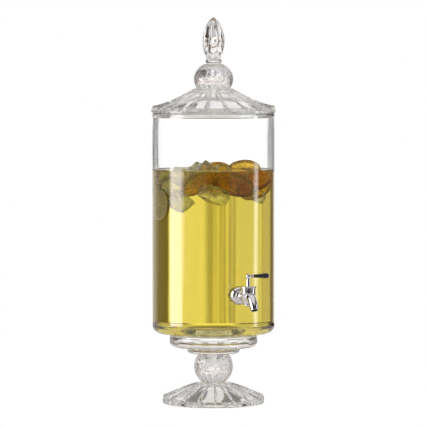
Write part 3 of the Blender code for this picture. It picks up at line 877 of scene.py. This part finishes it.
end_cap = turned(
    "end_cap",
    [
        (0, 0.0376), (0.0018, 0.0375, 0.001), (0.0032, 0.0367, 0.0008), (0.0032, 0.0356, 0.0002),
        (ROD_HOLE, 0.0356), (ROD_HOLE, 0.0371), (0, 0.0371),
    ],
    5, around=80, place=lever_frame,
)
show(end_cap, CHROME, "lever", ["lever_end_cap"])

# Lid. Its frame stands on the jar's rim.

lid_radius = reach("lid_cover")
LID_GAP, LID_RISE, LID_EDGE = 0.0003, 0.041, 0.0115
LID_NECK = 0.0314
SKIRT_DEPTH, SKIRT_WIDTH = 0.0082, 0.0050
lid_frame = Matrix.Translation((0, 0, jar_high + LID_GAP))
lid_ribs = lid_radius - 0.0024
skirt = bore - 0.0012


def lid_crest(radius):
    share = np.clip((radius - LID_NECK) / (lid_ribs - LID_NECK), 0, 1)
    return LID_EDGE + (LID_RISE - LID_EDGE) * (1 - share) ** 1.4


lid_lower = rounded(
    [
        (lid_ribs, LID_EDGE), (lid_radius, 0.0045, 0.0006), (lid_radius, 0.0, 0.0014), (skirt, 0.0),
        (skirt, -SKIRT_DEPTH, 0.0010), (skirt - SKIRT_WIDTH, -SKIRT_DEPTH, 0.0010),
        (skirt - 0.0060, -0.0010, 0.003), (skirt - 0.0170, 0.0045, 0.006), (0.034, 0.030, 0.012), (0, 0.031),
    ],
    6,
)
lid_outline = crest_rows(lid_crest, LID_NECK, lid_ribs, 60) + finely(lid_lower[1:], 0.0015)
lid_shape = pressed(
    lid_crest, LID_NECK, lid_ribs, lid_radius, deepen=0.0016, rim_top=LID_EDGE, rim_low=0.0045, drop=0.0028,
    phase=math.pi / FLUTES,
)
cover = lathe("cover", lid_outline, FLUTES * FLUTE_STEPS, shape=lid_shape, place=lid_frame, sharp=50)
show(cover, CLEAR, "lid", ["lid_cover"])

knob_low, knob_high, knob_radius = bottom("lid_knob"), top("lid_knob"), reach("lid_knob")
knob_middle = knob_low + 0.0149
KNOB_HALF_HEIGHT = 0.0285
knob = hammered(
    "knob", lambda z: knob_radius * math.sqrt(max(0.0, 1 - ((z - knob_middle) / KNOB_HALF_HEIGHT) ** 2)),
    knob_middle, knob_low, knob_high, 9,
)
show(knob, STIPPLED, "lid", ["lid_knob"])

ring_low, ring_high = bottom("finial_collar"), top("finial_collar")
half = (ring_high - ring_low) / 2
BEAD_CENTRE = 0.0103
bead = [
    (BEAD_CENTRE + (half - 0.0002) * math.cos(a), half + (half - 0.0002) * math.sin(a))
    for a in np.linspace(math.radians(80), math.radians(-80), 22)
]
ring_frame = Matrix.Translation((0, 0, ring_low))
ring = lathe("finial_ring", [(0, 2 * half)] + bead + [(0, 0)], 128, place=ring_frame)
show(ring, CLEAR, "lid", ["finial_collar"])

bud_low, bud_high = bottom("finial_bud"), top("finial_bud")
BUD, BUD_BASE, BELLY = 0.0192, 0.0120, 0.0300
bud_tall = bud_high - bud_low


def bud_shape(radius, height, angle):
    """Eight hollow facets that meet in sharp ridges and die away at the tip and the base."""
    groove = 0.15 * np.abs(np.sin(4 * angle + 0.5)) ** 0.9
    swell = np.sqrt(np.sin(np.pi * np.clip(height / bud_tall, 0, 1)))
    return radius * (1 - groove * swell), height


bud_outline = [(0, bud_tall)]
for i in range(1, 71):
    share = 1 - i / 70
    bud_outline.append((BUD * (1 - share**2) ** 0.75, BELLY + (bud_tall - BELLY) * share))
for i in range(1, 31):
    share = i / 30
    bud_outline.append((BUD_BASE + (BUD - BUD_BASE) * (1 - share**2), BELLY * (1 - share)))
bud_outline.append((0, 0))
bud = lathe("bud", bud_outline, 256, shape=bud_shape, place=Matrix.Translation((0, 0, bud_low)), sharp=50)
show(bud, CLEAR, "lid", ["finial_bud"])

# Drink, ice and fruit, which ride in the jar

DRINK_TOP = 0.3946
LAP = 0.00008  # how far the drink reaches into the glass, so that no air shows between them
CREEP_WIDTH, CREEP_HEIGHT = 0.004, 0.0013  # where the drink's surface climbs the wall
drink_side = bore + LAP
floor_z, middle_z = jar_low + FLOOR - LAP, jar_low + MIDDLE - LAP


def drink_shape(radius, height, angle):
    wall = radius > bore - 0.0005
    return radius + np.where(wall, wall_wave(angle, height), 0), height


creep = [
    (drink_side - CREEP_WIDTH + CREEP_WIDTH * math.sin(a), DRINK_TOP + CREEP_HEIGHT * (1 - math.cos(a)))
    for a in np.linspace(0, quarter_turn, 8)
]
drink_floor = [
    (drink_side, floor_z, 0.0082 + LAP), (0.046, floor_z, 0.008), (0.035, middle_z, 0.008), (0, middle_z)
]
drink = turned("drink", [(0, DRINK_TOP)] + creep + drink_floor, 8, 0.006, 256, shape=drink_shape)
drink.data.materials.append(drink_finish("drink_look"))

ICE = ice_finish("ice_look")


MELT = 0.42  # 0 leaves a cube and 1 makes a ball


def lump(name, size, at, turn, seed):
    """A half-melted ice cube, with its own dents for each seed."""
    made = bmesh.new()
    bmesh.ops.create_cube(made, size=2.0)
    bmesh.ops.subdivide_edges(made, edges=made.edges, cuts=17, use_grid_fill=True)
    shift = Vector((seed * 3.1, seed * 1.7, seed * 0.9))
    for vertex in made.verts:
        p = vertex.co.copy()
        ball = p.normalized() * 1.22
        p = p.lerp(ball, MELT)
        p *= 1 + 0.13 * noise.noise(p * 1.3 + shift) + 0.04 * noise.noise(p * 3.7 + shift)
        vertex.co = p
    mesh = bpy.data.meshes.new(name)
    made.to_mesh(mesh)
    made.free()
    mesh.shade_smooth()
    obj = bpy.data.objects.new(name, mesh)
    bpy.context.scene.collection.objects.link(obj)
    mesh.transform(Matrix.Diagonal((*[s / 2 for s in size], 1)))
    obj.rotation_euler = turn
    obj.location = at
    bpy.context.view_layer.update()
    return obj


def slice_of(name, radius, thick, at, facing, material, roll):
    """A round slice whose face looks along facing, with sunken segments and a rounded rind."""

    def shape(r, z, angle):
        walls = np.abs(np.sin(5 * angle + 0.2 * np.sin(3 * angle)))
        in_flesh = smooth_step(r, 0.10 * radius, 0.2 * radius)
        in_flesh = in_flesh * (1 - smooth_step(r, 0.80 * radius, 0.86 * radius))
        sunk = 0.0007 * in_flesh * smooth_step(walls, 0.05, 0.35)
        wander = 1 + 0.018 * np.sin(2 * angle + radius * 900) + 0.01 * np.sin(5 * angle)
        return r * wander, z - np.sign(z) * sunk

    half, rind = thick / 2, thick * 0.3
    corners = [(0, half), (radius, half, rind), (radius, -half, rind), (0, -half)]
    obj = turned(name, corners, 5, 0.0012, 160, shape=shape)
    aim = Vector(facing).to_track_quat("Z", "Y").to_matrix().to_4x4()
    obj.matrix_world = Matrix.Translation(at) @ aim @ Matrix.Rotation(roll, 4, "Z")
    show(obj, material, "jar")


ORANGE = fruit_finish(
    "orange_look",
    rind=(0.90, 0.44, 0.02), pith=(0.98, 0.70, 0.12), flesh=(0.98, 0.62, 0.04), core=(0.98, 0.70, 0.09),
    radius=0.033, clear=0.96,
)
LEMON = fruit_finish(
    "lemon_look",
    rind=(0.62, 0.42, 0.05), pith=(0.95, 0.91, 0.75), flesh=(0.93, 0.82, 0.50), core=(0.96, 0.90, 0.68),
    radius=0.028, clear=0.35,
)

# Name, radius, thickness, place and facing as right, towards the camera and up, material, and roll
SLICES = [
    ("orange_front", 0.034, 0.0085, (0.0320, 0.052, 0.3730), (-0.28, 0.55, -0.785), ORANGE, 0.3),
    ("orange_top", 0.033, 0.0080, (0.0500, -0.012, 0.3850), (-0.12, 0.70, 0.71), ORANGE, 1.1),
    ("orange_left", 0.030, 0.0075, (-0.0200, 0.022, 0.3740), (0.50, 0.52, -0.69), ORANGE, 2.2),
    ("orange_right", 0.031, 0.0075, (0.0600, 0.026, 0.3720), (0.55, 0.62, -0.56), ORANGE, 0.7),
    ("orange_back", 0.033, 0.0075, (0.0050, -0.052, 0.3780), (0.15, 0.80, -0.58), ORANGE, 1.9),
    ("lemon_left", 0.028, 0.0060, (-0.0780, 0.018, 0.3370), (-0.94, 0.35, 0.05), LEMON, 0.4),
]
for name, radius, thick, at, facing, material, roll in SLICES:
    slice_of(name, radius, thick, seen(*at), seen(*facing), material, roll)

POCKET = 0.996  # a lump's pocket in the drink against the lump, so that no air shows between them

# Size, place as right, towards the camera and up, and turn
ICE_PLACES = [
    ((0.034, 0.030, 0.026), (-0.0500, 0.052, 0.3860), (0.3, 0.2, 0.5)),
    ((0.030, 0.034, 0.028), (-0.0600, 0.022, 0.3660), (0.9, 0.3, 0.1)),
    ((0.028, 0.026, 0.026), (-0.0100, -0.002, 0.3915), (0.5, 0.6, 0.2)),
    ((0.024, 0.022, 0.020), (0.0150, -0.012, 0.3900), (0.1, 0.5, 0.9)),
    ((0.040, 0.030, 0.026), (0.0000, 0.056, 0.3560), (0.2, 0.35, 0.4)),
    ((0.028, 0.030, 0.028), (-0.0500, 0.040, 0.3440), (0.2, 0.8, 0.3)),
    ((0.024, 0.022, 0.020), (0.0680, 0.040, 0.3520), (0.4, 0.1, 1.2)),
    ((0.028, 0.024, 0.024), (-0.0280, -0.040, 0.3870), (0.6, 0.9, 0.3)),
    ((0.024, 0.026, 0.028), (-0.0760, 0.024, 0.3780), (0.2, 0.4, 0.8)),
]
for i, (size, at, turn) in enumerate(ICE_PLACES, 1):
    combine(drink, lump("pocket", [side * POCKET for side in size], seen(*at), turn, i), sharp=50)
    show(lump(f"ice_{i}", size, seen(*at), turn, i), ICE, "jar")
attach(drink, "jar")

# Floor, light and camera


FLOOR_RADIUS, FLOOR_TOP, FLOOR_THICK = 1.2, -0.0006, 0.0020


def make_floor():
    """A pale round floor. It is plain white to the camera. In the glass it shows a painted glow that
    darkens outwards, and soft dark bands near the foot are painted shadow for the foot's flutes to mirror."""
    made, g = new_material("floor_look")
    x, y, _ = g.split(g.place())
    away = g.from_axis(x, y)
    ray = g.add("ShaderNodeLightPath").outputs["Is Camera Ray"]
    across = g.plus(g.times(x, RIGHT.x), g.times(y, RIGHT.y))
    # Painted shadow: soft dark stripes across the floor near the foot, seen only in the glass.
    wave = g.math("SINE", g.plus(g.times(across, 95.0), g.times(3.0, g.noise(g.place(), 4.0, 1.0))))
    painted_shadow_bands = g.math("MAXIMUM", g.rise(wave, -0.25, 0.15, 0.30, 1.0), g.rise(away, 0.12, 0.30))
    # Painted light: the glow seen in the glass is brightest near the foot and fades outwards.
    painted_light_grade = g.times(g.rise(away, 0.08, 0.9, 0.80, 0.66), painted_shadow_bands)
    colour = g.mix(ray, (1.0, 0.97, 0.95), (1.0, 1.0, 1.0))
    light = g.add("ShaderNodeEmission", {"Color": colour, "Strength": g.math("MAXIMUM", ray, painted_light_grade)})
    g.add("ShaderNodeOutputMaterial", {"Surface": light.outputs[0]})
    floor = cylinder("floor", FLOOR_RADIUS, FLOOR_TOP - FLOOR_THICK, FLOOR_TOP, 96)
    floor.data.materials.append(made)


def view_angles(g):
    """How far a ray points to the right of straight ahead of the camera, measured level with the floor,
    and how far above the camera's line of sight, both in degrees."""
    aim = g.add("ShaderNodeVectorMath", {0: g.place("Camera")}, operation="NORMALIZE").outputs[0]
    x, _, z = g.split(aim)
    turn = {"vector_type": "VECTOR", "convert_from": "WORLD", "convert_to": "CAMERA"}
    sky = g.add("ShaderNodeVectorTransform", {"Vector": (0, 0, 1)}, **turn).outputs[0]
    rise = g.add("ShaderNodeVectorMath", {0: aim, 1: sky}, operation="DOT_PRODUCT").outputs["Value"]
    tilt = g.split(sky)[2]
    level = g.math("SQRT", g.math("SUBTRACT", 1.0, g.times(tilt, tilt)))
    ahead = g.math("DIVIDE", g.math("SUBTRACT", z, g.times(rise, tilt)), level)
    degrees = 180 / math.pi
    across = g.times(g.math("ARCTAN2", x, ahead), degrees)
    up = g.times(g.math("SUBTRACT", g.math("ARCSINE", rise), g.math("ARCSINE", tilt)), degrees)
    return across, up


def make_world():
    """A plain white surround to the camera itself. In the glass and the metal it is a studio of panels
    round the camera: pale and striped ones behind the jar, dark sides, a tall window on the left and a
    strip light on the right."""
    world = bpy.data.worlds.new("studio")
    bpy.context.scene.world = world
    world.use_nodes = True
    g = Graph(world.node_tree)
    across, up = view_angles(g)

    def band(value, low, high, soft):
        fade_in = g.rise(value, low - soft, low + soft)
        return g.times(fade_in, g.rise(value, high - soft, high + soft, 1.0, 0.0))

    def panel(left, right, soft, low=-90, high=90, edge=5):
        return g.times(band(across, left, right, soft), band(up, low, high, edge))

    outward = g.place("Camera")
    streak = g.rise(g.noise(g.stretched(outward, (16.0, 1.6, 16.0)), 1.0, 3.0, 0.55), 0.44, 0.62, 0.46, 0.95)
    sway = g.times(3.0, g.noise(g.stretched(outward, (1.2, 2.4, 1.2)), 1.0, 1.0))
    stripes = g.rise(g.math("SINE", g.plus(g.times(0.42, across), sway)), -0.35, 0.05, 0.16, 1.0)
    soft_stripes = g.rise(stripes, 0, 1, 0.36, 1.0)
    above_drink = g.rise(up, 0.66, 0.75)
    behind_drink = g.times(g.rise(up, 0.66, 0.75, 1.0, 0.0), g.rise(up, -2.00, -1.94))
    below_jar = g.rise(up, -2.00, -1.94, 1.0, 0.0)
    white, bright, warm = (1.0, 1.0, 1.0), (1.0, 0.99, 0.98), (1.0, 0.98, 0.95)
    lights = [
        # Behind the empty top of the jar and the lid
        g.lit(white, g.times(1.10, above_drink, panel(-11, 11, 3, -60, 3.6, 0.4))),
        g.lit(bright, g.times(0.28, above_drink, panel(-42, 42, 5, -60, 3.6, 0.4))),
        # Shelves of light above that
        g.lit((1.0, 0.98, 0.96), g.times(0.72, panel(-40, 40, 4, 3.6, 8.3, 0.3))),
        g.lit(warm, g.times(1.25, panel(-24, -14.5, 1, 8.3, 9.4, 0.05))),
        g.lit(bright, g.times(0.84, panel(-44, 44, 4, 9.4, 15, 0.05))),
        g.lit((1.0, 0.58, 0.40), g.times(0.13, panel(-95, 95, 4, 3.6, 15, 0.3))),
        g.lit((1.0, 0.98, 0.97), g.times(0.76, soft_stripes, panel(-58, 58, 4, 15, 48, 2))),
        # Behind the stand
        g.lit((1.0, 0.98, 0.99), g.times(0.98, below_jar, stripes, panel(-52, 14, 3, -42, 35, 6))),
        # Behind the drink: a warm ground, then bright panels from right to left
        g.lit((1.0, 0.74, 0.46), g.times(0.18, behind_drink, band(across, -68, 68, 10))),
        g.lit(bright, g.times(0.98, behind_drink, panel(3.3, 26.5, 1.3))),
        g.lit((1.0, 0.97, 0.90), g.times(streak, behind_drink, panel(-11.5, 3.3, 1.0))),
        g.lit(warm, g.times(0.78, behind_drink, panel(-30, -11.5, 1.0))),
        g.lit((1.0, 0.92, 0.80), g.times(0.60, behind_drink, panel(-46, -30, 2.0))),
        # The window on the left and the strip light on the right
        g.lit((1.0, 0.96, 0.95), g.times(6.8, panel(-118, -90, 4.0, -25, 38, 8))),
        g.lit(white, g.times(4.0, panel(87, 96, 2.5, -30, 40, 8))),
        # Behind the camera, overhead and everywhere
        g.lit((1.0, 0.98, 0.97), g.times(0.14, panel(-168, -120, 5.0, -25, 25, 8))),
        g.lit(white, g.times(0.16, panel(100, 150, 5.0, -25, 25, 8))),
        g.lit(bright, g.times(0.80, band(up, 54, 95, 6))),
        g.lit((1.0, 0.98, 0.97), 0.05),
    ]
    ray = g.add("ShaderNodeLightPath").outputs["Is Camera Ray"]
    colour = g.mix(ray, g.sum(lights), (1, 1, 1))
    light = g.add("ShaderNodeBackground", {"Color": colour, "Strength": 1.0})
    g.add("ShaderNodeOutputWorld", {"Surface": light.outputs[0]})


def make_camera():
    camera = bpy.data.objects.new("camera", bpy.data.cameras.new("camera"))
    bpy.context.scene.collection.objects.link(camera)
    camera.data.sensor_width, camera.data.lens = SENSOR, LENS
    camera.data.clip_start, camera.data.clip_end = 0.1, 50
    back = TOWARD * math.cos(VIEW_ELEVATION) + Vector((0, 0, math.sin(VIEW_ELEVATION)))
    camera.location = Vector((0, 0, VIEW_HEIGHT)) + back * VIEW_DISTANCE
    camera.rotation_mode = "QUATERNION"
    camera.rotation_quaternion = (-back).to_track_quat("-Z", "Y")
    bpy.context.scene.camera = camera


make_floor()
make_world()
make_camera()
scene = bpy.context.scene
scene.view_settings.view_transform = "Standard"
scene.cycles.max_bounces = 32
scene.cycles.transmission_bounces = 32
scene.cycles.glossy_bounces = 16
scene.cycles.transparent_max_bounces = 32
scene.cycles.sample_clamp_indirect = 2.4
